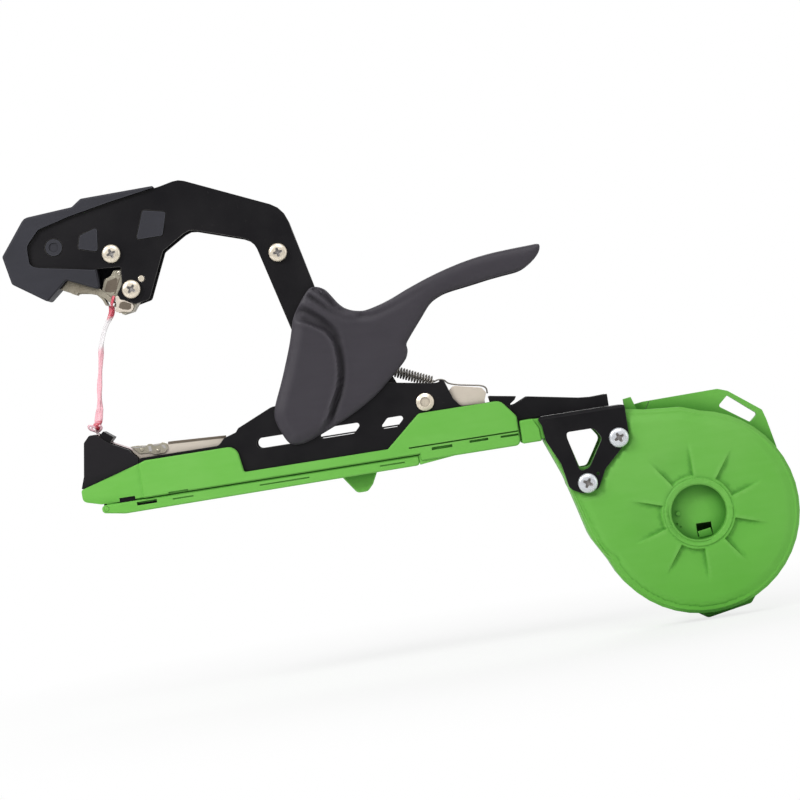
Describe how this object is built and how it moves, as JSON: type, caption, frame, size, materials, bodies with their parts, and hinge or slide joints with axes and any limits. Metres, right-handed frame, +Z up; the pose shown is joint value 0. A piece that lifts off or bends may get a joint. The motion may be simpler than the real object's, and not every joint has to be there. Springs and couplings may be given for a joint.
{
  "type": "plant tying tool",
  "caption": "Hand-held plant tying tool: long green lower arm with staple magazine and tape reel, folded black upper arm with a jaw head, and a squeeze handle.",
  "frame": {"origin": "on the pivot axis of the upper arm, at the middle of the tool's width", "axes": "+X runs back along the level lower arm to the tape reel, +Z up from the lower arm to the upper one, +Y across to the far side"},
  "size_m": [0.3576, 0.0352, 0.2467],
  "materials": {
    "green_plastic": "moulded satin green",
    "black_steel": "black coated sheet steel",
    "dark_plastic": "textured charcoal",
    "grip_plastic": "satin dark grey",
    "bright_steel": "plated",
    "spring_steel": "drawn wire",
    "tape_film": "thin tinted film",
    "cardboard": "wound card, unfinished"
  },
  "bodies": {
    "frame": {"frame_channel": "black_steel", "front_block": "dark_plastic", "tape_clip": "black_steel", "tape_deck": "bright_steel", "magazine_rail": "bright_steel", "staple_stick": "bright_steel", "driver_blade": "bright_steel", "pusher_rod": "bright_steel", "shell_near": "green_plastic", "shell_far": "green_plastic", "rear_block": "dark_plastic", "door_pin": "bright_steel", "arm_pivot_pin": "bright_steel", "spring_anchor": "bright_steel", "return_spring": "spring_steel", "pusher_spring": "spring_steel", "tape_guide": "black_steel", "reel_bracket": "black_steel", "bracket_screw_upper": "bright_steel", "bracket_nut_upper": "bright_steel", "bracket_screw_lower": "bright_steel", "bracket_nut_lower": "bright_steel", "reel_case": "green_plastic", "cover_pin": "bright_steel", "tape_run": "tape_film", "tape_strand": "tape_film"},
    "arm": {"clincher_arm": "black_steel", "jaw_head": "dark_plastic", "clincher_plate": "bright_steel", "cutter_blade": "bright_steel", "blade_guard": "bright_steel", "arm_screw_front": "bright_steel", "arm_nut_front": "bright_steel", "arm_screw_lower": "bright_steel", "arm_nut_lower": "bright_steel", "arm_screw_rear": "bright_steel", "arm_nut_rear": "bright_steel", "arm_spacer": "bright_steel", "catch_pin": "bright_steel", "link_pin": "bright_steel", "spring_pin": "bright_steel"},
    "handle": {"operating_handle": "grip_plastic", "slot_pin": "bright_steel"},
    "catch": {"tape_catch": "bright_steel"},
    "door": {"magazine_door": "green_plastic"},
    "pusher": {"staple_pusher": "dark_plastic"},
    "cover": {"reel_cover": "green_plastic"},
    "spool": {"spool_core": "cardboard", "tape_roll": "tape_film"}
  },
  "joints": [
    {"name": "arm_hinge", "type": "hinge", "parent": "frame", "child": "arm", "pos_m": [0, 0, 0], "axis": [0, -1, 0], "range_deg": [0, 22], "stiffness_Nm_per_rad": 1.2, "springref_deg": -20.05, "deforming": ["return_spring", "tape_strand"]},
    {"name": "handle_hinge", "type": "hinge", "parent": "arm", "child": "handle", "pos_m": [-0.03, 0, 0.028], "axis": [0, 1, 0], "range_deg": [0, 42.7]},
    {"name": "catch_hinge", "type": "hinge", "parent": "arm", "child": "catch", "pos_m": [-0.12469, 0, 0.07944], "axis": [0, 1, 0], "range_deg": [0, 8], "stiffness_Nm_per_rad": 0.02, "springref_deg": -17.19},
    {"name": "door_hinge", "type": "hinge", "parent": "frame", "child": "door", "pos_m": [-0.1578, 0, -0.0266], "axis": [0, 1, 0], "range_deg": [0, 70]},
    {"name": "pusher_slide", "type": "slide", "parent": "frame", "child": "pusher", "axis": [1, 0, 0], "range_m": [0, 0.034], "stiffness_N_per_m": 30, "springref_m": -0.05, "deforming": ["pusher_spring"]},
    {"name": "cover_hinge", "type": "hinge", "parent": "frame", "child": "cover", "pos_m": [0.10402, 0.012, -0.02004], "axis": [0.5707, 0, 0.8211], "range_deg": [0, 75]},
    {"name": "spool_spin", "type": "hinge", "parent": "frame", "child": "spool", "pos_m": [0.12072, 0, -0.07221], "axis": [0, 1, 0], "continuous": true}
  ],
  "couplings": [
    {"joint": "handle_hinge", "follows": "arm_hinge", "ratio": 1.9394}
  ]
}
